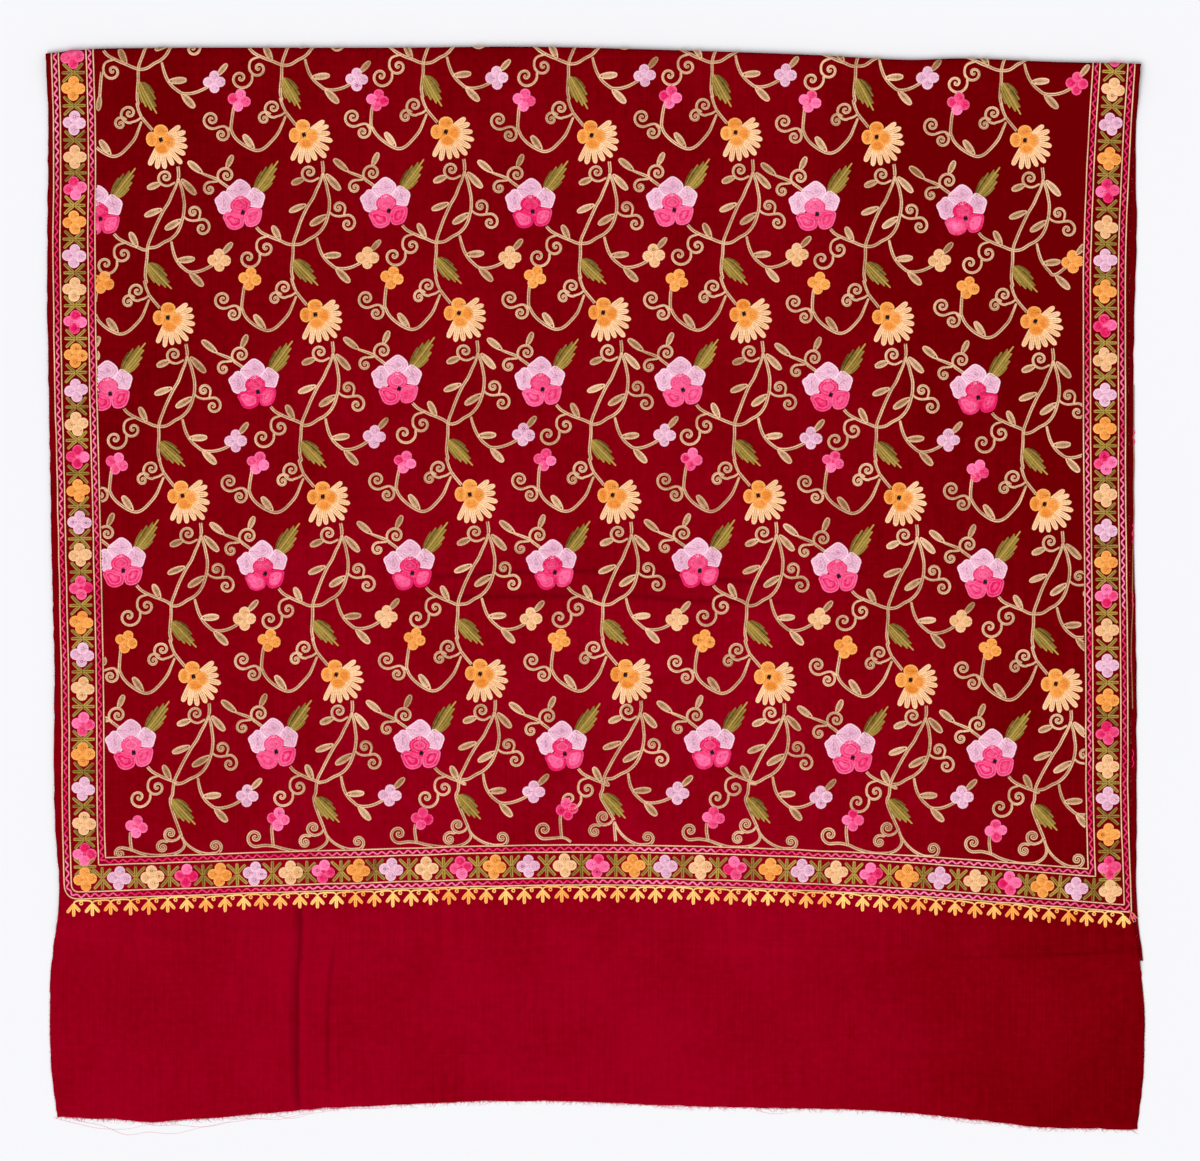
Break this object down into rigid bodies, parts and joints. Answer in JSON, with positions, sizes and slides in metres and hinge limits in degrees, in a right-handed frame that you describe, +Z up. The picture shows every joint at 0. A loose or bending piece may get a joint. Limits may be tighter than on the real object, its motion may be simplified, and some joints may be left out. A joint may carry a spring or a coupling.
{
  "type": "embroidered wool shawl, folded flat",
  "caption": "Wide crimson wool shawl with trailing floral crewel embroidery, a flowered border and a plain raw end, folded once and laid flat.",
  "frame": {"origin": "centre of the folded shawl's outline, on the surface that it lies on", "axes": "+X across the cloth from the left selvedge to the right one, +Y towards the fold, +Z up out of the right side of the cloth"},
  "size_m": [1.0261, 1.011, 0.0077],
  "materials": {
    "front_cloth": "crimson woven wool, soft matt nap, embroidered right side",
    "back_cloth": "crimson woven wool, wrong side of the embroidery"
  },
  "bodies": {
    "root": {"shawl_front": "front_cloth", "shawl_fold": "front_cloth", "shawl_back": "back_cloth"}
  },
  "joints": []
}
